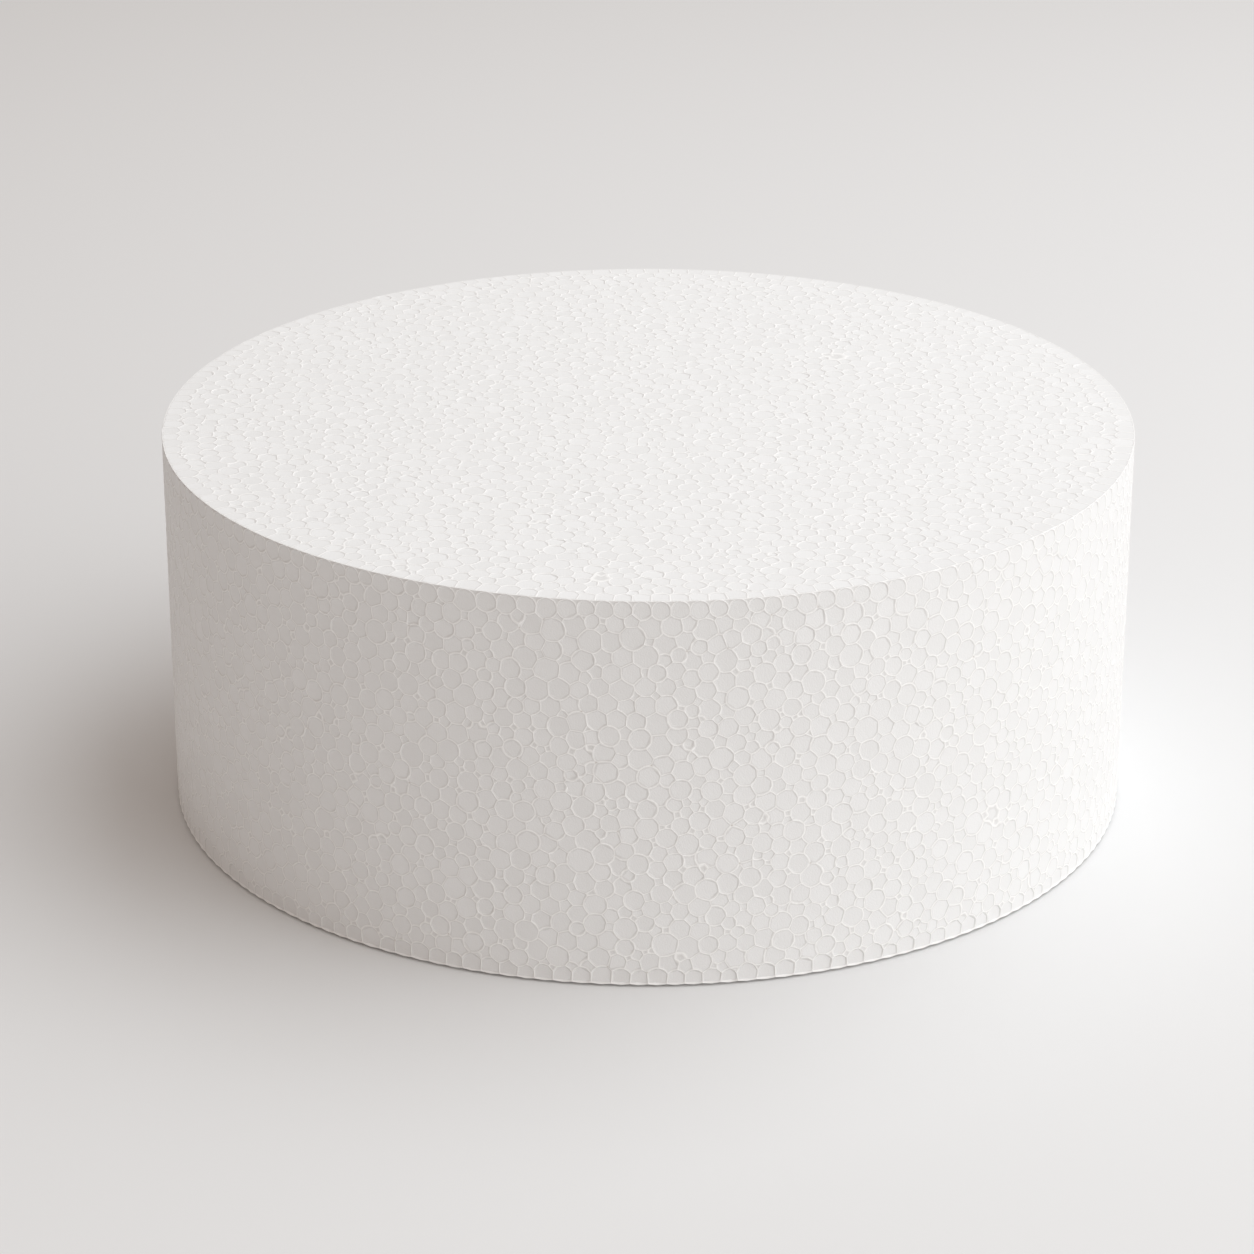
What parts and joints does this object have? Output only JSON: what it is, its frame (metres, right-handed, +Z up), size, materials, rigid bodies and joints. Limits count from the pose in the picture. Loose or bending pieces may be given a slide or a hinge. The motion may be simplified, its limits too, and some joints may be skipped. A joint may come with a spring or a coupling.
{
  "type": "cake dummy",
  "caption": "Round cake dummy: a plain solid drum of white moulded foam with flat faces and crisp rims, used as a blank for decorating.",
  "frame": {"origin": "middle of the flat base, on the surface that the dummy stands on", "axes": "+Z up, along the drum's axis; X and Y lie anywhere, as the drum is round"},
  "size_m": [0.254, 0.254, 0.1016],
  "materials": {
    "white_foam": "white expanded polystyrene, moulded bead surface with a faint skin sheen"
  },
  "bodies": {
    "root": {"cake_dummy": "white_foam"}
  },
  "joints": []
}
